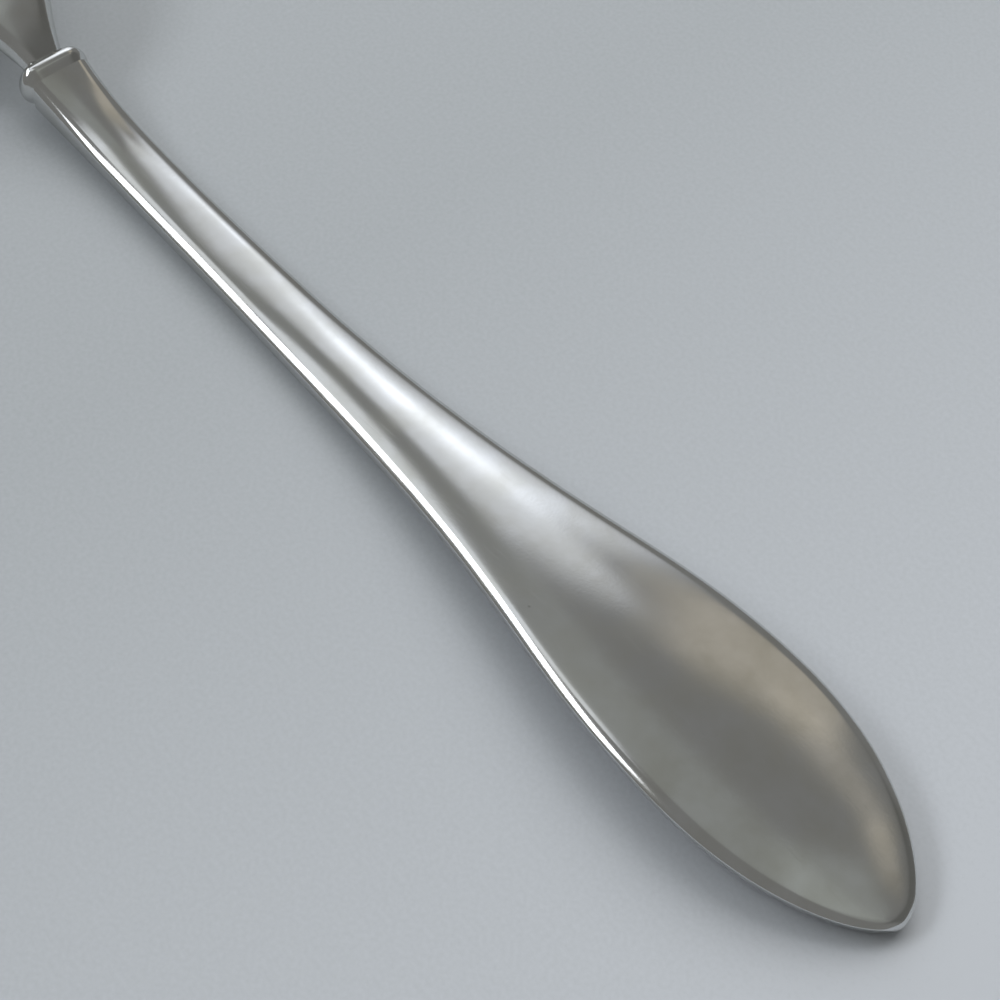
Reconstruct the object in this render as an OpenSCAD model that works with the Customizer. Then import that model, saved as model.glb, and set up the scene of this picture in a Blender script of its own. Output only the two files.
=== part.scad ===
// Salad fork lying on its face, the way it is set down to show its back.
// Three metal pieces: a four-tine head with a round tang, a beaded collar that the tang passes through,
// and a paddle handle whose stem takes the tang in a blind socket.
// +X points to the end of the handle, +Z is up, and the table is the plane z = 0.

/* [Handle outline] */
// Length of the handle from the collar to its round end
handle_len = 106.2; // [92:0.1:124]
// Width of the stem at its slimmest
stem_w = 5.3; // [4.5:0.1:6]
// Width of the stem's foot, where it meets the collar
foot_w = 6.1; // [5.6:0.1:7]
// Length over which the foot flares
foot_flare = 11; // [6:0.5:16]
// Width of the paddle at its widest
paddle_w = 16.5; // [12:0.1:22]
// Length of the round end, from the widest place to the tip
paddle_end = 17.5; // [14:0.5:24]
// How far the stem's straight run pulls on the outline
stem_pull = 60; // [46:0.5:66]
// How far the paddle's straight run pulls on the outline
paddle_pull = 21.5; // [16:0.5:28]
// How far the widest place pulls on the outline of the round end
end_pull = 10; // [6:0.5:13]
// How far the tip's own round pulls on the outline of the round end
tip_pull = 2.9; // [2:0.1:5]

/* [Handle thickness] */
// Thickness of the stem's foot
foot_t = 3.35; // [3:0.05:3.8]
// Thickness of the stem at its lowest place
stem_t = 2.8; // [2.4:0.05:3.4]
// Thickness of the paddle at its crest
paddle_t = 3.4; // [2.7:0.05:4.2]
// Thickness of the paddle at its tip
tip_t = 1.7; // [1.6:0.05:2.6]
// Rise of the back across the stem's foot
foot_crown = 0.12; // [0.05:0.01:0.3]
// Rise of the back across the stem
stem_crown = 0.65; // [0.2:0.05:0.9]
// Rise of the back across the paddle
paddle_crown = 0.55; // [0.1:0.05:0.9]
// Rise of the front, across the whole handle
front_crown = 0.1; // [0.05:0.01:0.25]
// Radius of the shoulders at the stem's foot
foot_round = 1.2; // [0.6:0.05:1.3]
// Radius of the shoulders along the stem
stem_round = 1.4; // [0.8:0.05:1.5]
// Radius of the edge round the paddle
paddle_round = 1.4; // [0.6:0.05:1.6]
// Radius of the edge at the tip
tip_round = 0.9; // [0.4:0.05:1]
// Radius of the front edge, all round
front_round = 0.5; // [0.2:0.05:0.6]

/* [Handle side view] */
// Gap from the table to the stem's foot
foot_lift = 1.75; // [1.2:0.05:2.2]
// Depth of the flat on the front of the stem, where it lies on the table
rest_flat = 0.15; // [0.1:0.01:0.3]
// Distance from the collar to the lowest place of the stem
low_at = 31.7; // [26:0.1:40]
// Gap from the table to the paddle's crest
crest_lift = 1.9; // [1:0.05:3]
// Distance from the collar to the paddle's crest
crest_at = 81.7; // [60:0.1:88]
// Gap from the table to the tip
tip_lift = 0.1; // [0:0.05:1]

/* [Collar] */
// How far the bead stands proud of the stem's foot, all round
bead_proud = 0.4; // [0.3:0.05:0.6]
// Length of the bead
bead_len = 1.9; // [1.4:0.05:2.2]
// How far the bead's round comes down from its crest to its ends
bead_drop = 0.65; // [0.5:0.05:0.75]
// How far the taper between the bead and the stem stands proud of the foot, under the bead's crest
taper_proud = 0.15; // [0.05:0.05:0.25]
// Length of the taper past the bead
taper_len = 0.45; // [0.3:0.05:1.2]
// Radius of the corners of the bead and the taper, seen along the fork
collar_round = 1.8; // [0.8:0.05:2]

/* [Tang] */
// Diameter of the tang
tang_d = 1.7; // [1.2:0.05:1.9]
// Angle at which the tang leans down into the stem
tang_tilt = 11; // [8:0.5:13]
// Length of the tang inside the handle
tang_len = 5; // [4:0.5:6]
// Clearance all round the tang
tang_gap = 0.04; // [0.02:0.01:0.1]
// Clearance past the end of the tang
tang_end_gap = 0.5; // [0.2:0.05:1]

/* [Head] */
// Width of the neck at the collar
neck_w = 3.6; // [3.2:0.1:4.4]
// Thickness of the neck at the collar
neck_t = 2.45; // [2.3:0.05:2.8]
// Slope at which each side of the neck flares from the collar
neck_flare = 0.25; // [0.1:0.05:0.6]
// How far the neck's flare pulls on the outline
neck_pull = 7; // [4:0.5:10]
// Slope at which the neck climbs from the collar
neck_climb = 1.15; // [0.5:0.05:1.3]
// How far the neck's climb pulls on the side view
climb_pull = 5.5; // [3:0.5:7]
// Width of the head at its shoulders
head_w = 25; // [21:0.1:29]
// Distance from the collar to the shoulders
shoulder_at = 27; // [23:0.5:32]
// How far the shoulders pull on the outline
shoulder_pull = 14; // [8:0.5:18]
// Width over the outer tines at their tips
tips_w = 22.6; // [19:0.1:25]
// Length of the head from the collar to the tips of the tines
head_len = 63.85; // [58:0.05:72]
// Height of the back over the table at the hump
hump_h = 13.4; // [10:0.1:16]
// Distance from the collar to the hump
hump_at = 22; // [17:0.5:26]
// How far the hump pulls on the side view, towards the neck
hump_pull = 8; // [5:0.5:11]
// Thickness of the bowl
bowl_t = 2; // [1.5:0.05:2.5]
// Rise of the back across the bowl
bowl_dish = 1.3; // [0.5:0.05:1.8]
// Radius of the edges of the neck
neck_round = 1.1; // [0.6:0.05:1.2]
// Radius of the edges of the head
head_round = 0.5; // [0.2:0.05:0.6]

/* [Tines] */
// Number of tines
tines = 4; // [3:1:5]
// Length of the slots between the tines
slot_len = 37; // [28:0.5:40]
// Width of a slot at its round root
slot_w = 3; // [2.2:0.05:3.4]
// Width of a tine at its tip
tine_tip_w = 2.3; // [1.6:0.05:2.8]
// Thickness of a tine at its tip
tine_tip_t = 1.3; // [1:0.05:1.8]
// Length of the rounded point of a tine
tine_nose = 3.5; // [1.5:0.1:6]
// Slope at which the tips come down to the table
tip_slope = 0.41; // [0.2:0.01:0.6]
// How far the tips and the hump pull on the side view of the tines
tine_pull = 14; // [8:0.5:18]

/* [Hidden] */
steel = [0.67, 0.66, 0.64];
steel_dark = [0.58, 0.57, 0.55];
$fn = 64;

// Places along X, with the whole fork centred on the origin
collar_len = bead_len + taper_len;
overall_len = handle_len + collar_len + head_len;
tip_x = overall_len / 2;
foot_x = tip_x - handle_len;
neck_x = foot_x - collar_len;
axis_z = foot_lift + foot_t / 2;
wide_at = handle_len - paddle_end;

// Steps of the lofts
flare_steps = 6;
bend_steps = 26;
end_steps = 12;
// Share of the round end's curve that is lofted. The rest is the flat nose of the tip.
end_share = 0.97;
bead_steps = 10;
bowl_steps = 12;
tine_steps = 14;
crown_steps = 12;
edge_steps = 4;
nose_steps = 6;
nose_power = 2.3;
// Powers at which the foot's flare and its upward sweep die away along the stem
flare_power = 2;
sweep_power = 4;
// Most of its half width that an edge radius may take
most_round = 0.9;
// How far a cutter runs past what it cuts
past = 1;

// Curves
function mix(a, b, s) = a + (b - a) * s;
function ease(s) = s * s * (3 - 2 * s);
function bezier(p, t) =
    pow(1 - t, 3) * p[0] + 3 * t * pow(1 - t, 2) * p[1] + 3 * t * t * (1 - t) * p[2] + pow(t, 3) * p[3];
function bezier_slope(p, t) =
    let (d = pow(1 - t, 2) * (p[1] - p[0]) + 2 * t * (1 - t) * (p[2] - p[1]) + t * t * (p[3] - p[2]))
    d[1] / d[0];

// One closed cross-section in the YZ plane, listed anticlockwise as seen from +X. The back falls by crown
// towards the edges, and the front rises by belly, or falls with the back when belly is negative. Where the
// outline runs aslant, lean widens the back's shoulder, so that it is equally round all the way.
function section(half, top, t, crown, belly, back_r, front_r, lean = 1) =
    let (rb = min(back_r, most_round * half), rf = min(front_r, most_round * half))
    let (reach = min(back_r * lean, most_round * half))
    let (back_tilt = atan(2 * crown * (half - reach) / (half * half) * reach / rb))
    let (front_tilt = atan(2 * belly * (half - rf) / (half * half)))
    let (yb = half - reach + reach * sin(back_tilt), yf = half - rf + rf * sin(front_tilt))
    let (zb = top - crown * pow(yb / half, 2) - rb * cos(back_tilt))
    let (zf = top - t + belly * pow(yf / half, 2) + rf * cos(front_tilt))
    let (back_arc = [for (i = [1:edge_steps]) mix(back_tilt, 90, i / edge_steps)])
    let (front_arc = [for (i = [0:edge_steps - 1]) mix(90, 180 - front_tilt, i / edge_steps)])
    let (right = concat(
        [for (a = back_arc) [half - reach + reach * sin(a), zb + rb * cos(a)]],
        [for (a = front_arc) [half - rf + rf * sin(a), zf + rf * cos(a)]]))
    let (back = [for (i = [0:crown_steps]) let (y = mix(-yb, yb, i / crown_steps))
        [y, top - crown * pow(y / half, 2)]])
    let (front = [for (i = [0:crown_steps]) let (y = mix(yf, -yf, i / crown_steps))
        [y, top - t + belly * pow(y / half, 2)]])
    let (left = [for (i = [len(right) - 1:-1:0]) [-right[i][0], right[i][1]]])
    concat(back, right, front, left);

// A solid through a row of cross-sections, each given as [x, points], with x growing
module loft(rows) {
    ring = len(rows[0][1]);
    last = len(rows) - 1;
    points = [for (row = rows) for (p = row[1]) [row[0], p[0], p[1]]];
    sides = [for (j = [0:last - 1]) for (i = [0:ring - 1])
        let (a = j * ring + i, b = j * ring + (i + 1) % ring)
        each [[a, b, a + ring], [b, b + ring, a + ring]]];
    first_cap = [[for (i = [ring - 1:-1:0]) i]];
    last_cap = [[for (i = [0:ring - 1]) last * ring + i]];
    polyhedron(points = points, faces = concat(sides, first_cap, last_cap));
}

// What follows, set along the tang's own axis, which leans down into the stem. The start is counted from the
// collar's middle.
module along_tang(start) {
    translate([(neck_x + foot_x) / 2, 0, axis_z])
    rotate([0, 90 + tang_tilt, 0])
    translate([0, 0, start])
    children();
}

// Handle: a size that runs from the foot to the low place, the crest and the tip
function along(x, sizes) =
    x < low_at ? mix(sizes[1], sizes[0], pow(1 - x / low_at, sweep_power)) :
    x < crest_at ? mix(sizes[1], sizes[2], ease((x - low_at) / (crest_at - low_at))) :
    mix(sizes[2], sizes[3], pow((x - crest_at) / (handle_len - crest_at), nose_power));

// Loss of height within a round of radius r at the very end of the handle
function nose(x, r) = x < handle_len - r ? 0 : r - sqrt(max(0, r * r - pow(x - handle_len + r, 2)));

handle_bend = [[foot_flare, stem_w / 2], [foot_flare + stem_pull, stem_w / 2],
    [wide_at - paddle_pull, paddle_w / 2], [wide_at, paddle_w / 2]];
handle_end = [[wide_at, paddle_w / 2], [wide_at + end_pull, paddle_w / 2],
    [handle_len, tip_pull], [handle_len, 0]];

// Half widths of the handle as [distance from the collar, half width, slope of the outline]
function outline_row(p, t) = concat(bezier(p, t), bezier_slope(p, t));
handle_outline = concat(
    [for (i = [0:flare_steps - 1]) let (s = i / flare_steps)
        [foot_flare * s, stem_w / 2 + (foot_w - stem_w) / 2 * pow(1 - s, flare_power), 0]],
    [for (i = [0:bend_steps]) outline_row(handle_bend, i / bend_steps)],
    [for (i = [1:end_steps]) outline_row(handle_end, end_share * i / end_steps)]);

function handle_section(x, half, slope) =
    let (t = along(x, [foot_t, stem_t, paddle_t, tip_t]))
    let (lift = along(x, [foot_lift, -rest_flat, crest_lift, tip_lift]))
    let (round_end = x < wide_at ? 1 : 2 * half / paddle_w)
    let (crown = round_end * along(x, [foot_crown, stem_crown, paddle_crown, paddle_crown]))
    let (back_r = along(x, [foot_round, stem_round, paddle_round, tip_round]))
    let (back_loss = nose(x, tip_round), front_loss = nose(x, front_round))
    section(half, lift + t - back_loss, t - back_loss - front_loss, crown, front_crown, back_r, front_round,
        lean = sqrt(1 + slope * slope));

module handle() {
    color(steel)
    difference() {
        translate([foot_x, 0, 0])
        loft([for (p = handle_outline) [p[0], handle_section(p[0], p[1], p[2])]]);
        // Socket for the tang
        along_tang(0) cylinder(d = tang_d + 2 * tang_gap, h = collar_len / 2 + tang_len + tang_end_gap);
        // Flat where the stem lies on the table
        translate([foot_x, -paddle_w / 2, -past])
        cube([wide_at, paddle_w, past]);
    }
}

// Collar: a rounded bead, and a taper that runs from it down to the foot's own size
function oval(proud) =
    let (t = foot_t + 2 * proud, r = min(collar_round, most_round * t / 2))
    section(foot_w / 2 + proud, axis_z + t / 2, t, foot_crown, foot_crown, r, r);

module collar() {
    crest = bead_len / 2;
    taper_slope = taper_proud / (collar_len - crest);
    color(steel)
    difference() {
        translate([neck_x, 0, 0])
        loft(concat(
            [for (i = [0:bead_steps])
                let (a = 180 * i / bead_steps, x = crest * (1 - cos(a)))
                let (bead = bead_proud - bead_drop * (1 - sin(a)), taper = taper_slope * (collar_len - x))
                [x, oval(a > 90 ? max(bead, taper) : bead)]],
            [[collar_len, oval(0)]]));
        along_tang(-collar_len) cylinder(d = tang_d + 2 * tang_gap, h = 2 * collar_len);
    }
}

// Head: the outline and the height of the back, as curves over the distance from the collar
neck_top = axis_z + neck_t / 2;
tip_top = tine_tip_t * sqrt(1 + tip_slope * tip_slope);
tine_run = head_len - hump_at;
shoulder_bend = [[0, neck_w / 2], [neck_pull, neck_w / 2 + neck_flare * neck_pull],
    [shoulder_at - shoulder_pull, head_w / 2], [shoulder_at, head_w / 2]];
neck_bend = [[0, neck_top], [climb_pull, neck_top + neck_climb * climb_pull],
    [hump_at - hump_pull, hump_h], [hump_at, hump_h]];
tine_bend = [[hump_at, hump_h], [hump_at + tine_pull, hump_h],
    [head_len - tine_pull, tip_top + tip_slope * tine_pull], [head_len, tip_top]];

// Where along a curve a given distance from the collar falls
function curve_at(p, u, low = 0, high = 1, n = 24) =
    let (t = (low + high) / 2)
    n == 0 ? t : bezier(p, t)[0] < u ? curve_at(p, u, t, high, n - 1) : curve_at(p, u, low, t, n - 1);

function head_half(u) =
    u < shoulder_at ? bezier(shoulder_bend, curve_at(shoulder_bend, u))[1] :
    mix(head_w / 2, tips_w / 2, (u - shoulder_at) / (head_len - shoulder_at));

function head_section(u, top, slope) =
    let (bowl = ease(min(1, u / hump_at)), tine = ease(max(0, u - hump_at) / tine_run))
    let (flat_t = u < hump_at ? mix(neck_t, bowl_t, bowl) : mix(bowl_t, tine_tip_t, tine))
    let (t = u == 0 ? neck_t : flat_t * sqrt(1 + slope * slope * min(1, u / neck_t)))
    let (dish = u < hump_at ? mix(foot_crown, bowl_dish, bowl) : bowl_dish * (1 - tine))
    let (belly = u < hump_at ? mix(foot_crown, -bowl_dish, bowl) : -dish)
    let (r = mix(neck_round, head_round, bowl))
    section(head_half(u), top, t, dish, belly, r, r);

// Rows from the tips of the tines back to the neck
head_rows = concat(
    [for (i = [tine_steps:-1:0]) let (t = i / tine_steps, p = bezier(tine_bend, t))
        [-p[0], head_section(p[0], p[1], bezier_slope(tine_bend, t))]],
    [for (i = [bowl_steps - 1:-1:0]) let (t = i / bowl_steps, p = bezier(neck_bend, t))
        [-p[0], head_section(p[0], p[1], bezier_slope(neck_bend, t))]]);

// Slots and rounded points, cut straight down through the head. The tines run straight from root to tip.
root_at = head_len - slot_len + slot_w / 2;
root_pitch = (2 * head_half(root_at) + slot_w) / tines;
tip_pitch = (tips_w - tine_tip_w) / (tines - 1);
function down_tine(u, root, tip) = mix(root, tip, (u - root_at) / (head_len - root_at));
function tine_pitch(u) = down_tine(u, root_pitch, tip_pitch);
function tine_w(u) = down_tine(u, root_pitch - slot_w, tine_tip_w);

module slots() {
    end = head_len + past;
    end_half = (tine_pitch(end) - tine_w(end)) / 2;
    for (i = [1:tines - 1]) {
        root_y = (i - tines / 2) * root_pitch;
        end_y = (i - tines / 2) * tine_pitch(end);
        translate([-root_at, root_y]) circle(d = slot_w);
        polygon([[-root_at, root_y - slot_w / 2], [-root_at, root_y + slot_w / 2],
            [-end, end_y + end_half], [-end, end_y - end_half]]);
    }
}

module tip_corners() {
    nose_at = head_len - tine_nose;
    point = [for (i = [-nose_steps:nose_steps]) let (a = 90 * i / nose_steps)
        [-tine_nose * cos(a), tine_w(nose_at) / 2 * sin(a)]];
    difference() {
        translate([-head_len - past, -head_w]) square([past + tine_nose, 2 * head_w]);
        for (i = [0:tines - 1])
            translate([-nose_at, (i - (tines - 1) / 2) * tine_pitch(nose_at)]) polygon(point);
    }
}

module fork_head() {
    color(steel_dark)
    union() {
        translate([neck_x, 0, 0])
        difference() {
            loft(head_rows);
            translate([0, 0, -past]) linear_extrude(hump_h + 2 * past) slots();
            translate([0, 0, -past]) linear_extrude(hump_h + 2 * past) tip_corners();
        }
        // Tang, from inside the neck to its end in the handle
        along_tang(-collar_len) cylinder(d = tang_d, h = 1.5 * collar_len + tang_len);
    }
}

fork_head();
collar();
handle();
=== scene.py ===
import math

import bmesh
import bpy
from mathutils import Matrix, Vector


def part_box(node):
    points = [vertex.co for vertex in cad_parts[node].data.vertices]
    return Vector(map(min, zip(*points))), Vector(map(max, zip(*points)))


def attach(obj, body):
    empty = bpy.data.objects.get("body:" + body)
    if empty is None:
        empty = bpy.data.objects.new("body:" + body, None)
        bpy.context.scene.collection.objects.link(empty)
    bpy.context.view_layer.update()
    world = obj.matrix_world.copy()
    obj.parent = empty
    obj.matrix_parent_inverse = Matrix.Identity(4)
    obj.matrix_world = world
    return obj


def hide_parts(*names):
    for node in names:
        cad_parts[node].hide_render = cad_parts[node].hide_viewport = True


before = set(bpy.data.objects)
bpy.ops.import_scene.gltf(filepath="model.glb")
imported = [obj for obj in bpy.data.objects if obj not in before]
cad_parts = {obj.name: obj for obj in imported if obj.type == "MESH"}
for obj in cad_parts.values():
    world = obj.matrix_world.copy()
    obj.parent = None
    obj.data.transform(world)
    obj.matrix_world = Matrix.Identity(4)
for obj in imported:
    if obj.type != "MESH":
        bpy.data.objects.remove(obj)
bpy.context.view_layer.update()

# Fork head: neck, bowl and four tines, struck from one blank of stainless steel and pressed to a curve.
# A round tang behind the neck carries the collar and is fixed in the handle.
# Sizes are in millimetres, counted along the head from the collar, and mm turns them into metres.
mm = 0.001
neck_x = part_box("collar")[0].x / mm
foot_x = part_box("handle")[0].x / mm
axis_z = 3.425
head_len = 63.85
head_w, tips_w = 25, 22.6
neck_w, neck_t = 3.6, 2.45
bowl_t, tip_t = 2, 1.3
shoulder_at, hump_at, hump_h = 27, 22, 13.4
neck_flare, neck_climb, tip_slope = 0.25, 1.15, 0.41
neck_pull, shoulder_pull = 7, 14
climb_pull, hump_pull, tine_pull = 5.5, 8, 14
neck_crown, bowl_dish, neck_round = 0.12, 1.3, 1.1
tines, slot_w, slot_len = 4, 3, 37
tine_tip_w, tine_nose, tine_blunt = 2.3, 3.5, 0.03
edge_bevel, rim_angle, smooth_angle = 0.42, 50, 40
neck_slack = 0.05
tang_d, tang_len, tang_tilt = 1.7, 5, 11

neck_top = axis_z + neck_t / 2
tip_top = tip_t * math.hypot(1, tip_slope)
root_at = head_len - slot_len + slot_w / 2
shoulder_curve = ((0, neck_w / 2), (neck_pull, neck_w / 2 + neck_pull * neck_flare),
                  (shoulder_at - shoulder_pull, head_w / 2), (shoulder_at, head_w / 2))
neck_curve = ((0, neck_top), (climb_pull, neck_top + climb_pull * neck_climb),
              (hump_at - hump_pull, hump_h), (hump_at, hump_h))
tine_curve = ((hump_at, hump_h), (hump_at + tine_pull, hump_h),
              (head_len - tine_pull, tip_top + tine_pull * tip_slope), (head_len, tip_top))


def mix(a, b, share):
    """A value that goes from a to b as share goes from 0 to 1."""
    return a + (b - a) * share


def ease(share):
    """A share that starts and ends gently."""
    share = min(max(share, 0), 1)
    return share * share * (3 - 2 * share)


def curve_point(curve, t):
    """A point of the cubic curve that four points guide."""
    pulls = ((1 - t) ** 3, 3 * t * (1 - t) ** 2, 3 * t * t * (1 - t), t ** 3)
    return [sum(pull * point[axis] for pull, point in zip(pulls, curve)) for axis in (0, 1)]


def curve_height(curve, along):
    """Height of a curve at a distance along it, found by halving."""
    low, high = 0, 1
    for _ in range(30):
        t = (low + high) / 2
        if curve_point(curve, t)[0] < along:
            low = t
        else:
            high = t
    return curve_point(curve, high)[1]


def head_half(u):
    """Half width of the head at a distance from the collar."""
    if u < shoulder_at:
        return curve_height(shoulder_curve, u)
    return mix(head_w / 2, tips_w / 2, (u - shoulder_at) / (head_len - shoulder_at))


def head_back(u):
    """Height of the back of the head on its middle line."""
    return curve_height(neck_curve if u < hump_at else tine_curve, u)


def head_surfaces(u, y):
    """Heights of the back and of the front of the head at a place on it."""
    bowl = ease(u / hump_at)
    thinning = ease((u - hump_at) / (head_len - hump_at))
    across = y / head_half(u)
    step = 0.1
    slope = (head_back(min(u + step, head_len)) - head_back(max(u - step, 0))) / (2 * step)
    thick = mix(mix(neck_t, bowl_t, bowl), tip_t, thinning) * math.hypot(1, slope * min(1, u / neck_t))
    dish = mix(neck_crown, bowl_dish, bowl) * (1 - thinning)
    belly = mix(neck_crown, -dish, bowl)
    into_edge = max(0, min(1, 1 - (head_half(u) - abs(y)) / neck_round))
    roll = neck_round * (1 - bowl) * (1 - math.sqrt(1 - into_edge ** 2))
    back = head_back(u) - dish * across ** 2 - roll
    front = head_back(u) - thick + belly * across ** 2 + roll
    return back, front


# Columns across half of the head: the slot on the middle line, a tine, a slot and the outer tine
root_half = head_half(root_at)
root_pitch = (2 * root_half + slot_w) / tines
tip_pitch = (tips_w - tine_tip_w) / (tines - 1)
root_columns = [0, slot_w / 2, root_pitch / 2, root_pitch - slot_w / 2,
                root_pitch, root_pitch + slot_w / 2, root_pitch * 1.5, root_half]
slot_middles = (0, 4)
tine_columns = (1, 2, 3, 5, 6, 7)
bowl_rows = (0, 0.3, 1.2, 2.5, 4.2, 6.2, 8.6, 11.2, 14, 17, 20, 23, 25.4)
tine_rows = (30.6, 33.4, 37.4, 41.4, 45.9, 50.4, 54, 57.4, 60.2, 61.9, 63.1, 63.8)


def bowl_row(u):
    """One row across half of the neck or the bowl, as wide as the head is there."""
    return [(u, y / root_half * head_half(u)) for y in root_columns]


def root_row():
    """The last row before the tines part, drawn back in the middle of each slot to its round root."""
    return [(root_at - slot_w / 2 if i in slot_middles else root_at, y) for i, y in enumerate(root_columns)]


def tine_row(u):
    """Three points across each tine of one half, which taper and then round off to the point."""
    share = (u - root_at) / (head_len - root_at)
    pitch = mix(root_pitch, tip_pitch, share)
    nose = max(0, u - head_len + tine_nose) / tine_nose
    half = mix(root_pitch - slot_w, tine_tip_w, share) / 2 * math.sqrt(max(tine_blunt, 1 - nose * nose))
    return [(u, pitch * (i + 0.5) + side * half) for i in (0, 1) for side in (-1, 0, 1)]


def edit(piece):
    """Opens a piece in edit mode and gives the mesh that is worked on."""
    bpy.ops.object.mode_set(mode="EDIT")
    bpy.ops.mesh.select_mode(type="VERT")
    return bmesh.from_edit_mesh(piece.data)


def choose(form, points):
    """Selects these points, with the edges and faces between them, and nothing else."""
    bpy.ops.mesh.select_all(action="DESELECT")
    for point in points:
        point.select_set(True)
    form.select_flush(True)


def place(form, points, places):
    """Moves each point to its place, given in millimetres."""
    for point, new_place in zip(points, places):
        choose(form, [point])
        bpy.ops.transform.translate(value=Vector(new_place) * mm - point.co)


def start_strip(name, count):
    """A new piece in edit mode: an open strip of edges, the right half of a circle from top to bottom."""
    bpy.ops.object.select_all(action="DESELECT")
    bpy.ops.mesh.primitive_circle_add(
        vertices=2 * count - 2, radius=mm, rotation=(math.pi / 2, 0, math.pi / 2))
    bpy.ops.object.transform_apply(location=True, rotation=True, scale=True)
    piece = bpy.context.object
    piece.name = piece.data.name = name
    form = edit(piece)
    choose(form, [p for p in form.verts if p.co.y < -0.01 * mm])
    bpy.ops.mesh.delete(type="VERT")
    return piece, form, sorted(form.verts, key=lambda p: -p.co.z)


def extrude_strip(form, strip):
    """Extrudes a strip of edges and gives its new points, in the order of the old ones."""
    choose(form, strip)
    bpy.ops.mesh.extrude_edges_move()
    return [next(p for e in old.link_edges if (p := e.other_vert(old)).select) for old in strip]


def finish_with(piece, kind, **settings):
    """Puts a modifier on a piece and applies it."""
    bpy.ops.object.mode_set(mode="OBJECT")
    modifier = piece.modifiers.new(kind.title(), kind)
    for setting, value in settings.items():
        setattr(modifier, setting, value)
    bpy.ops.object.modifier_apply(modifier=modifier.name)


def on_head(row):
    """Places on the back of the head for a row of points given along and across it."""
    return [(neck_x - u, y, head_surfaces(u, y)[0]) for u, y in row]


fork_head, form, strip = start_strip("fork_head_steel", len(root_columns))
place(form, strip, on_head(bowl_row(bowl_rows[0])))
for u in bowl_rows[1:]:
    strip = extrude_strip(form, strip)
    place(form, strip, on_head(bowl_row(u)))
strip = extrude_strip(form, strip)
place(form, strip, on_head(root_row()))
strip = [strip[i] for i in tine_columns]
for u in tine_rows:
    strip = extrude_strip(form, strip)
    place(form, strip, on_head(tine_row(u)))

# The half sheet becomes whole, and gets its thickness from a second sheet drawn down from it
finish_with(fork_head, "MIRROR", use_axis=(False, True, False), merge_threshold=0.01 * mm)
form = edit(fork_head)
bpy.ops.mesh.select_all(action="SELECT")
bpy.ops.mesh.extrude_region_move(TRANSFORM_OT_translate={"value": (0, 0, -bowl_t * mm)})
front_points = [p for p in form.verts if p.select]
place(form, front_points, [(p.co.x / mm, p.co.y / mm, head_surfaces(neck_x - p.co.x / mm, p.co.y / mm)[1])
                           for p in front_points])
bpy.ops.mesh.select_all(action="SELECT")
bpy.ops.mesh.normals_make_consistent(inside=False)


def choose_edges(form, test):
    """Selects the edges that pass a test, and nothing else."""
    bpy.ops.mesh.select_mode(type="EDGE")
    bpy.ops.mesh.select_all(action="DESELECT")
    for edge in form.edges:
        edge.select_set(test(edge))
    form.select_flush_mode()


def at_neck(edge):
    """Whether an edge lies in the neck's end, against the collar."""
    return all(p.co.x > (neck_x - neck_slack) * mm for p in edge.verts)


# The rim is rounded all round, and the neck's end stays square where it meets the collar
choose_edges(form, lambda edge: edge.calc_face_angle(0) > math.radians(rim_angle) and not at_neck(edge))
bpy.ops.mesh.bevel(offset=edge_bevel * mm, offset_type="OFFSET", segments=2, profile=0.6, affect="EDGES")
choose_edges(form, at_neck)
bpy.ops.transform.edge_crease(value=1)
finish_with(fork_head, "SUBSURF", levels=2, render_levels=2)


def add_rod(name, diameter, start, end):
    """A round rod along the tang's axis, to join to a piece or to drill it with.

    The axis leans down into the stem, and its start and end are counted from the collar's middle."""
    lean, middle = math.radians(tang_tilt), (start + end) / 2
    x = (neck_x + foot_x) / 2 + middle * math.cos(lean)
    z = axis_z - middle * math.sin(lean)
    bpy.ops.object.select_all(action="DESELECT")
    bpy.ops.mesh.primitive_cylinder_add(
        vertices=48, radius=diameter / 2 * mm, depth=(end - start) * mm,
        location=(x * mm, 0, z * mm), rotation=(0, math.pi / 2 + lean, 0))
    rod = bpy.context.object
    rod.name = name
    return rod


def combine(piece, rod, operation):
    """Joins a rod to a piece or cuts it out of it, and removes the rod."""
    bpy.ops.object.select_all(action="DESELECT")
    bpy.context.view_layer.objects.active = piece
    piece.select_set(True)
    finish_with(piece, "BOOLEAN", object=rod, operation=operation, solver="EXACT")
    bpy.data.objects.remove(rod)
    bpy.ops.object.shade_smooth_by_angle(angle=math.radians(smooth_angle))


collar_len = foot_x - neck_x
combine(fork_head, add_rod("tang", tang_d, -collar_len, collar_len / 2 + tang_len), "UNION")


def linear(hex_colour):
    """Linear colour of an sRGB hex value."""
    parts = [int(hex_colour[i:i + 2], 16) / 255 for i in (1, 3, 5)]
    return [p / 12.92 if p <= 0.04045 else ((p + 0.055) / 1.055) ** 2.4 for p in parts] + [1]


def add_node(tree, kind, inputs=(), **settings):
    """Adds a node with its settings. Each input is a socket's name and a value, or another node's output.

    A socket whose name comes more than once on its node is given by its number."""
    node = tree.nodes.new(kind)
    for setting, value in settings.items():
        setattr(node, setting, value)
    for socket, value in dict(inputs).items():
        if isinstance(value, bpy.types.NodeSocket):
            tree.links.new(value, node.inputs[socket])
        else:
            node.inputs[socket].default_value = value
    return node


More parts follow.
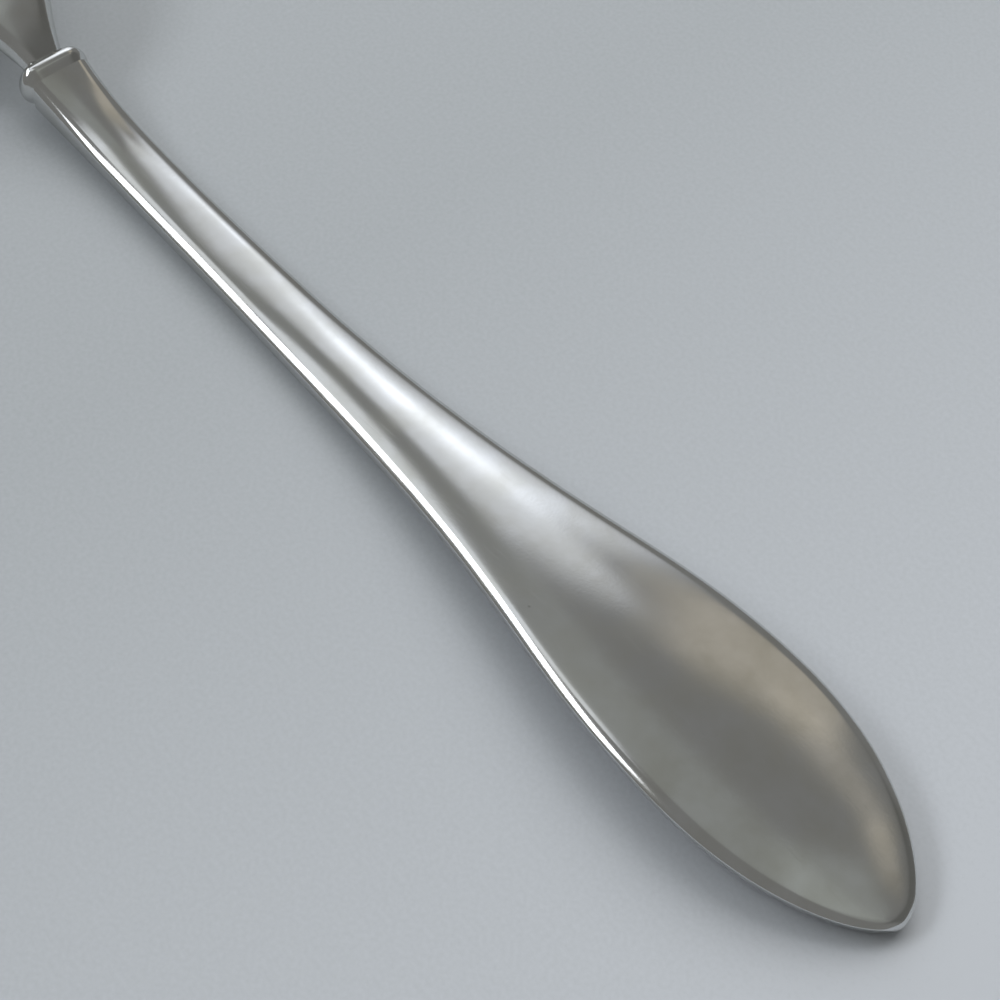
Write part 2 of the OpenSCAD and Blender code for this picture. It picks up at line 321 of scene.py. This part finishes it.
def worn_stainless(name):
    """Stainless steel, forged, polished and then worn by years of use and washing.

    It gives the eye a soft gloss: reflections that waver, a fine grain, hairline scratches, a few pits, and
    edges rubbed a little duller than the flats."""
    bright_steel, filmed_steel, pitted_steel = "#d0d1d1", "#c6c6c2", "#7b7772"
    swell_size, cloud_size, grain_size = 9, 3.5, 0.25
    pit_spacing, pit_floor, pit_rim = 9, 0.162, 0.306
    hair_size, hair_stretch, hair_sets = 0.22, (0.04, 1, 0.3), ((18, 0.0), (-31, 3.7), (67, 8.1))
    least_rough, most_rough, hair_rough, wear_rough = 0.1, 0.16, 0.06, 0.03
    swell_depth, grain_depth, hair_depth, pit_depth = 0.03, 0.0012, 0.0005, 0.012
    material = bpy.data.materials.new(name)
    material.use_nodes = True
    tree = material.node_tree
    shader = tree.nodes["Principled BSDF"]
    surface = add_node(tree, "ShaderNodeTexCoord")
    place_on_fork = surface.outputs["Object"]

    # Patterns, with their sizes in millimetres
    swell = add_node(tree, "ShaderNodeTexNoise", {
        "Vector": place_on_fork, "Scale": 1 / (swell_size * mm), "Detail": 1.0})
    cloud = add_node(tree, "ShaderNodeTexNoise", {
        "Vector": place_on_fork, "Scale": 1 / (cloud_size * mm), "Detail": 4.0})
    grain = add_node(tree, "ShaderNodeTexNoise", {
        "Vector": place_on_fork, "Scale": 1 / (grain_size * mm), "Detail": 2.0})
    pits = add_node(tree, "ShaderNodeTexVoronoi", {
        "Vector": place_on_fork, "Scale": 1 / (pit_spacing * mm)}, feature="F1")
    pit = add_node(tree, "ShaderNodeMapRange", {
        "Value": pits.outputs["Distance"], "From Min": pit_floor / pit_spacing,
        "From Max": pit_rim / pit_spacing, "To Min": 1.0, "To Max": 0.0}, interpolation_type="SMOOTHSTEP")

    # Hairlines are about 0.02 mm wide on the real fork, and are drawn 0.1 mm wide so that they show. Each set
    # of them has its turn in degrees and a shift that makes it differ from the others
    scratch = None
    for turn, shift in hair_sets:
        lines = add_node(tree, "ShaderNodeMapping", {
            "Vector": place_on_fork, "Location": (shift, shift, shift),
            "Rotation": (0, 0, math.radians(turn)), "Scale": hair_stretch})
        hair = add_node(tree, "ShaderNodeTexNoise", {
            "Vector": lines.outputs[0], "Scale": 1 / (hair_size * mm), "Detail": 1.0})
        cut = add_node(tree, "ShaderNodeMapRange", {
            "Value": hair.outputs["Fac"], "From Min": 0.69, "From Max": 0.85}).outputs[0]
        if scratch is None:
            scratch = cut
        else:
            scratch = add_node(tree, "ShaderNodeMath", {0: scratch, 1: cut}, operation="MAXIMUM").outputs[0]

    # Wear, on the steep parts of the surface
    steepness = add_node(tree, "ShaderNodeSeparateXYZ", {0: surface.outputs["Normal"]})
    rubbed = add_node(tree, "ShaderNodeMapRange", {
        "Value": steepness.outputs["Z"], "From Min": 0.85, "From Max": 0.35, "To Min": 0.0, "To Max": 1.0})
    wear = add_node(tree, "ShaderNodeMath", {
        0: rubbed.outputs[0], 1: cloud.outputs["Fac"]}, operation="MULTIPLY")

    # Colour: bright steel with a faint warm film, darker in the pits
    film = add_node(tree, "ShaderNodeMapRange", {
        "Value": cloud.outputs["Fac"], "From Min": 0.35, "From Max": 0.7})
    steel_colour = add_node(tree, "ShaderNodeMix", {
        "Factor": film.outputs[0], 6: linear(bright_steel), 7: linear(filmed_steel)}, data_type="RGBA")
    pitted = add_node(tree, "ShaderNodeMix", {
        "Factor": pit.outputs[0], 6: steel_colour.outputs[2], 7: linear(pitted_steel)}, data_type="RGBA")
    tree.links.new(pitted.outputs[2], shader.inputs["Base Color"])

    # Gloss: duller where the film, the hairlines and the wear are
    gloss = add_node(tree, "ShaderNodeMapRange", {
        "Value": cloud.outputs["Fac"], "From Min": 0.3, "From Max": 0.7,
        "To Min": least_rough, "To Max": most_rough})
    duller = add_node(tree, "ShaderNodeMath", {
        0: scratch, 1: hair_rough, 2: gloss.outputs[0]}, operation="MULTIPLY_ADD")
    worn = add_node(tree, "ShaderNodeMath", {
        0: wear.outputs[0], 1: wear_rough, 2: duller.outputs[0]}, operation="MULTIPLY_ADD")
    tree.links.new(worn.outputs[0], shader.inputs["Roughness"])

    # Relief, from the broad swell to the pits, with depths in millimetres
    normal = None
    for height, depth, invert in ((swell.outputs["Fac"], swell_depth, False),
                                  (grain.outputs["Fac"], grain_depth, False),
                                  (scratch, hair_depth, True), (pit.outputs[0], pit_depth, True)):
        inputs = {"Height": height, "Distance": depth * mm}
        if normal is not None:
            inputs["Normal"] = normal
        normal = add_node(tree, "ShaderNodeBump", inputs, invert=invert).outputs[0]
    tree.links.new(normal, shader.inputs["Normal"])
    shader.inputs["Metallic"].default_value = 1
    return material


steel = worn_stainless("worn_polished_stainless")
fork_head.data.materials.append(steel)
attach(fork_head, "root")
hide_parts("fork_head")

# Collar: a rounded bead that tapers to the handle's foot, forged of the same steel and bored for the tang.
# It is pushed up the tang to the neck, and the handle's foot closes on it.
foot_w, foot_t = 6.1, 3.35
bead_proud, bead_len, bead_drop, joint_deep = 0.4, 1.9, 0.65, 0.42
bead_turns, slope_shares = (0, 15, 32, 50, 70, 90, 105, 120), (0.3, 0.7, 0.93, 1)
collar_crown, collar_round = 0.12, 1.8
bore_gap = 0.04
crown_steps, roll_steps, corner_steps, edge_steps, front_steps = 6, 4, 2, 5, 4
most_round = 0.9
full_round, corner_at = (1, 1), math.radians(41)


def half_section(half, top, thick, crown, belly, back_r, front_r, lean=1, shoulder=full_round, under=0):
    """Right half of a cross-section: crowned back, round shoulder, wall, round front edge and front.

    Where the outline runs aslant, lean makes the shoulder wider, so that it is equally round all the way.
    The shoulder is a roll and then a corner, whose radii are given as shares of back_r.
    Under is the angle by which the wall leans in below the corner."""
    roll, corner = shoulder
    roll_y = 1 - corner + (corner - roll) * math.sin(corner_at)
    roll_z = (corner - roll) * math.cos(corner_at)
    most = most_round / (1 - roll_y)
    reach = min(back_r * lean, most * half)
    back_r, front_r = min(back_r, most * half), min(front_r, most_round * half)
    back_tilt = math.atan(2 * crown * (half - reach) / half ** 2 * reach / back_r)
    front_tilt = math.atan(2 * belly * (half - front_r) / half ** 2)
    back_y = half - reach + reach * (roll_y + roll * math.sin(back_tilt))
    back_z = top - crown * (back_y / half) ** 2 - back_r * (roll_z + roll * math.cos(back_tilt))
    # The wall leans in between the end of the corner and the start of the front edge's round
    front_low = top - thick + front_r * math.cos(front_tilt)
    wall_high = back_z - front_low - belly + (front_r - back_r * corner) * math.sin(under)
    inset = wall_high * math.tan(under) - (front_r - reach * corner) * (1 - math.cos(under))
    front_half, wall_turn = half - inset, math.pi / 2 + under
    front_y = front_half - front_r + front_r * math.sin(front_tilt)
    front_z = front_low + belly * (front_y / half) ** 2
    points = []
    for i in range(crown_steps + 1):
        y = back_y * i / crown_steps
        points.append((y, top - crown * (y / half) ** 2))
    for i in range(1, roll_steps + 1):
        turn = mix(back_tilt, corner_at, i / roll_steps)
        points.append((half - reach + reach * (roll_y + roll * math.sin(turn)),
                       back_z + back_r * (roll_z + roll * math.cos(turn))))
    for i in range(1, corner_steps + 1):
        turn = mix(corner_at, wall_turn, i / corner_steps)
        points.append((half - reach + reach * (1 - corner + corner * math.sin(turn)),
                       back_z + back_r * corner * math.cos(turn)))
    for i in range(edge_steps):
        turn = mix(wall_turn, math.pi - front_tilt, i / edge_steps)
        points.append((front_half - front_r + front_r * math.sin(turn), front_z + front_r * math.cos(turn)))
    for i in range(front_steps + 1):
        y = front_y * (1 - i / front_steps)
        points.append((y, top - thick + belly * (y / half) ** 2))
    return points


section_points = len(half_section(1, 1, 1, 0, 0, 0.1, 0.1))


def loft(name, rows, first_square=True, last_square=True):
    """A piece drawn through rows of half sections, mirrored to a whole, closed at both ends and smoothed."""
    piece, form, strip = start_strip(name, section_points)
    for i, (x, section) in enumerate(rows):
        if i > 0:
            strip = extrude_strip(form, strip)
        place(form, strip, [(x, y, z) for y, z in section])
    finish_with(piece, "MIRROR", use_axis=(False, True, False), merge_threshold=0.002 * mm)
    form = edit(piece)
    for (x, _), square in ((rows[0], first_square), (rows[-1], last_square)):
        choose_edges(form, lambda edge: edge.is_boundary and all(
            abs(p.co.x / mm - x) < 0.001 for p in edge.verts))
        if square:
            bpy.ops.transform.edge_crease(value=1)
        bpy.ops.mesh.edge_face_add()
    bpy.ops.mesh.select_all(action="SELECT")
    bpy.ops.mesh.normals_make_consistent(inside=False)
    finish_with(piece, "SUBSURF", levels=2, render_levels=2)
    return piece


def oval(proud):
    """Half section of the collar, standing proud of the handle's foot by this much."""
    thick = foot_t + 2 * proud
    edge = min(collar_round, most_round * thick / 2)
    return half_section(foot_w / 2 + proud, axis_z + thick / 2, thick, collar_crown, collar_crown, edge, edge)


# The bead's round ends at the last of its turns, in degrees, and a slope runs on from there, down into the
# joint with the foot
collar_rows = []
for degrees in bead_turns:
    turn = math.radians(degrees)
    x = neck_x + bead_len / 2 * (1 - math.cos(turn))
    proud = bead_proud - bead_drop * (1 - math.sin(turn))
    collar_rows.append((x, oval(proud)))
for share in slope_shares:
    collar_rows.append((mix(x, foot_x, share), oval(mix(proud, -joint_deep, share))))
collar = loft("collar_steel", collar_rows)
combine(collar, add_rod("bore", tang_d + 2 * bore_gap, -collar_len, collar_len), "DIFFERENCE")
collar.data.materials.append(steel)
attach(collar, "root")
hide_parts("collar")

# Handle: a slim stem that widens into a long paddle with a round end, forged and polished stainless steel.
# Its back is crowned and its edges are rolled. The tang is fixed in a socket in its foot.
# A size with four values runs from the foot to the low place of the stem, the paddle's crest and the tip.
handle_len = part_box("handle")[1].x / mm - foot_x
stem_w, foot_flare = 5.3, 11
paddle_w, paddle_end = 16.5, 17.5
stem_pull, paddle_pull = 60, 21.5
end_pull, tip_pull = 10, 2.9
low_at, crest_at, wide_at = 31.7, 81.7, handle_len - paddle_end
handle_thick = (foot_t, 2.8, 3.4, 1.7)
handle_lift = (1.75, -0.15, 1.9, 0.1)
handle_crown = (0.12, 0.65, 0.55, 0.55)
handle_round = (1.2, 1.4, 1.25, 0.7)
handle_front_round = (0.6, 1.05, 1.8, 1.0)
front_crown = 0.1
handle_undercut = (0, 0, 12, 26)
struck_edge = (1.4, 0.18)
flat_at, flat_run, flat_share = 24, 12, 0.75
socket_end_gap = 0.5
flare_power, sweep_power, end_power = 2, 4, 2.3


def along_handle(x, sizes):
    """A size that runs from the foot to the low place, the crest and the tip."""
    foot, low, crest, tip = sizes
    if x < low_at:
        return mix(low, foot, (1 - x / low_at) ** sweep_power)
    if x < crest_at:
        return mix(low, crest, ease((x - low_at) / (crest_at - low_at)))
    return mix(crest, tip, ((x - crest_at) / (handle_len - crest_at)) ** end_power)


def nose_loss(x, r):
    """Loss of height within a round of radius r at the very end of the handle."""
    into = max(0, x - handle_len + r)
    return r - math.sqrt(max(0, r * r - into * into))


def handle_section(x, half, lean):
    """Half section of the handle at a distance from its foot."""
    thick = along_handle(x, handle_thick)
    back = along_handle(x, handle_lift) + thick - nose_loss(x, handle_round[-1])
    front = along_handle(x, handle_lift) + nose_loss(x, handle_front_round[-1])
    struck_flat = flat_share * math.exp(-((x - flat_at) / flat_run) ** 2)
    shoulder = [mix(a, b, ease(x / foot_flare)) for a, b in zip(full_round, struck_edge)]
    crown = along_handle(x, handle_crown) * (1 - struck_flat) * (1 if x < wide_at else 2 * half / paddle_w)
    return half_section(half, back, back - front, crown, front_crown, along_handle(x, handle_round),
                        along_handle(x, handle_front_round), lean, shoulder,
                        math.radians(along_handle(x, handle_undercut)))


outline = []
for x in (0, 0.4, 1.4, 2.9, 4.7, 6.7, 8.8):
    outline.append((x, stem_w / 2 + (foot_w - stem_w) / 2 * (1 - x / foot_flare) ** flare_power))
bend = ((foot_flare, stem_w / 2), (foot_flare + stem_pull, stem_w / 2),
        (wide_at - paddle_pull, paddle_w / 2), (wide_at, paddle_w / 2))
bend_steps = 24
for i in range(bend_steps):
    outline.append(curve_point(bend, i / bend_steps))
round_end = ((wide_at, paddle_w / 2), (wide_at + end_pull, paddle_w / 2),
             (handle_len, tip_pull), (handle_len, 0))
for t in (0, 0.13, 0.26, 0.38, 0.49, 0.59, 0.68, 0.76, 0.83, 0.89, 0.935, 0.965, 0.985):
    outline.append(curve_point(round_end, t))
handle_rows = []
for i, (x, half) in enumerate(outline):
    before, after = outline[max(i - 1, 0)], outline[min(i + 1, len(outline) - 1)]
    lean = math.hypot(1, (after[1] - before[1]) / (after[0] - before[0]))
    handle_rows.append((foot_x + x, handle_section(x, half, lean)))
handle = loft("handle_steel", handle_rows, last_square=False)

# The front of the stem is worn flat where it lies on the table
edit(handle)
bpy.ops.mesh.select_all(action="SELECT")
bpy.ops.mesh.bisect(
    plane_co=(0, 0, 0), plane_no=(0, 0, 1), clear_inner=True, use_fill=True, threshold=0.001 * mm)
bpy.ops.object.mode_set(mode="OBJECT")
socket_end = collar_len / 2 + tang_len + socket_end_gap
combine(handle, add_rod("socket", tang_d + 2 * bore_gap, 0, socket_end), "DIFFERENCE")
handle.data.materials.append(steel)
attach(handle, "root")
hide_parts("handle")

# Table: a plain pale sheet, matt, that the fork lies on face down.
# Its colour is painted lighter towards the paddle's end, a painted falloff of light, and a fine speckle
# breaks up its colour. Its side is in metres, and its painted falloff and speckle are in millimetres.
table_size = 6
table_dark, table_light = "#a9aeb1", "#c4c8cd"
falloff_start, falloff_end = 10, 110
speckle_size, speckle_share = 0.4, 0.5
bpy.ops.object.select_all(action="DESELECT")
bpy.ops.mesh.primitive_plane_add(size=table_size)
table = bpy.context.object
table.name = "table"
table_sheet = bpy.data.materials.new("matt_pale_table")
table_sheet.use_nodes = True
sheet = table_sheet.node_tree
place_on_table = add_node(sheet, "ShaderNodeTexCoord").outputs["Object"]
table_axes = add_node(sheet, "ShaderNodeSeparateXYZ", {0: place_on_table})
# Painted light: the table's colour grows lighter along X, towards the paddle's end, in place of uneven
# lighting
painted_falloff = add_node(sheet, "ShaderNodeMapRange", {
    "Value": table_axes.outputs["X"], "From Min": falloff_start * mm, "From Max": falloff_end * mm})
speckle = add_node(sheet, "ShaderNodeTexNoise", {
    "Vector": place_on_table, "Scale": 1 / (speckle_size * mm), "Detail": 2.0})
speckle_and_falloff = add_node(sheet, "ShaderNodeMath", {
    0: speckle.outputs["Fac"], 1: speckle_share, 2: painted_falloff.outputs[0]}, operation="MULTIPLY_ADD")
shade = add_node(sheet, "ShaderNodeMix", {
    "Factor": speckle_and_falloff.outputs[0], 6: linear(table_dark), 7: linear(table_light)}, data_type="RGBA")
sheet_shader = sheet.nodes["Principled BSDF"]
sheet.links.new(shade.outputs[2], sheet_shader.inputs["Base Color"])
sheet_shader.inputs["Roughness"].default_value = 0.9
table.data.materials.append(table_sheet)

# Light: a dim room with soft windows and pale walls. Each has its bearing to the right of straight away from
# the camera, its height over the table, its half width and half height, all in degrees, its colour and its
# strength. The last one, with a strength below zero, is a dark doorway.
camera_azimuth, camera_height = 50.38, 53.83
room_colour = "#858583"
window_core, window_rim = (0.55, 0.55, 0.7), (1.15, 1.15, 1)
windows = (
    (-18, 25, 26, 20, "#f1f6ff", 1.3),
    (-6, 41, 8.5, 12, "#f5f9ff", 0.65),
    (-79, 42, 19, 8.8, "#f6faff", 6.5),
    (-46, 56, 9, 16, "#f5faff", 0.75),
    (25, 50, 12, 8, "#fff0d4", 0.28),
    (71, 57, 5, 4, "#fff0d4", 0.18),
    (48, 57, 14, 3, "#fff0d4", 0.16),
    (52, 80, 42, 7, "#f4fff6", 0.1),
    (92, 70, 10, 9, "#f4fff6", 0.1),
    (94, 28, 36, 26, "#ffffff", -0.085),
)


def way_to(bearing, height):
    """The direction of a window or lamp, from the fork."""
    turn, level = math.radians(90 + camera_azimuth - bearing), math.cos(math.radians(height))
    return Vector((level * math.cos(turn), level * math.sin(turn), math.sin(math.radians(height))))


world = bpy.data.worlds.new("soft_room")
bpy.context.scene.world = world
world.use_nodes = True
room = world.node_tree
room.nodes.clear()
direction = add_node(room, "ShaderNodeTexCoord").outputs["Generated"]
room_light = linear(room_colour)
for bearing, height, wide, tall, colour, strength in windows:
    centre = way_to(bearing, height)
    place_in_window = add_node(room, "ShaderNodeMapping", {
        "Vector": direction, "Location": centre, "Rotation": centre.to_track_quat("Z", "Y").to_euler(),
        "Scale": (math.sin(math.radians(wide)), math.sin(math.radians(tall)), 1)}, vector_type="TEXTURE")
    off_centre = add_node(room, "ShaderNodeVectorMath", {0: place_in_window.outputs[0]}, operation="ABSOLUTE")
    fade = add_node(room, "ShaderNodeMapRange", {
        "Vector": off_centre.outputs[0], 7: window_core, 8: window_rim, 9: (1, 1, 1), 10: (0, 0, 0)},
        data_type="FLOAT_VECTOR", interpolation_type="SMOOTHERSTEP")
    sides = add_node(room, "ShaderNodeSeparateXYZ", {0: fade.outputs["Vector"]})
    across = add_node(room, "ShaderNodeMath", {
        0: sides.outputs[0], 1: sides.outputs[1]}, operation="MULTIPLY")
    inside = add_node(room, "ShaderNodeMath", {
        0: across.outputs[0], 1: sides.outputs[2]}, operation="MULTIPLY")
    lit = add_node(room, "ShaderNodeMix", {
        "Factor": inside.outputs[0], 6: room_light, 7: [abs(strength) * part for part in linear(colour)]},
        data_type="RGBA", blend_type="ADD" if strength > 0 else "SUBTRACT")
    room_light = lit.outputs[2]
background = add_node(room, "ShaderNodeBackground", {"Color": room_light, "Strength": 1.0})
add_node(room, "ShaderNodeOutputWorld", {"Surface": background.outputs[0]})

# Lamp: a soft square light beyond the fork, in metres and watts, that lights the table.
# It is kept out of the metal's reflections, where only the room and the table show.
lamp_bearing, lamp_height, lamp_away, lamp_size, lamp_watts = 28, 52, 1.2, 1.2, 9
lamp_way = way_to(lamp_bearing, lamp_height)
bpy.ops.object.select_all(action="DESELECT")
bpy.ops.object.light_add(
    type="AREA", location=lamp_way * lamp_away, rotation=lamp_way.to_track_quat("Z", "Y").to_euler())
lamp = bpy.context.object
lamp.data.size = lamp_size
lamp.data.energy = lamp_watts
lamp.visible_glossy = False

# Camera: over the paddle's end, as the photograph was taken.
# Its place was fitted to the handle's two edges, its tip and the collar, as they lie in the picture.
aim = Vector((38.68, 2.33, 0)) * mm
camera_away = 194.1 * mm
focal_pixels, picture_pixels = 2423, 1000
turn, tilt = math.radians(camera_azimuth), math.radians(camera_height)
towards_camera = Vector((math.sin(turn) * math.cos(tilt), -math.cos(turn) * math.cos(tilt), math.sin(tilt)))
bpy.ops.object.select_all(action="DESELECT")
bpy.ops.object.camera_add(location=aim + towards_camera * camera_away)
camera = bpy.context.object
camera.rotation_euler = towards_camera.to_track_quat("Z", "Y").to_euler()
camera.data.lens = camera.data.sensor_width * focal_pixels / picture_pixels
camera.data.clip_start = 10 * mm
bpy.context.scene.camera = camera
bpy.context.scene.view_settings.view_transform = "Standard"
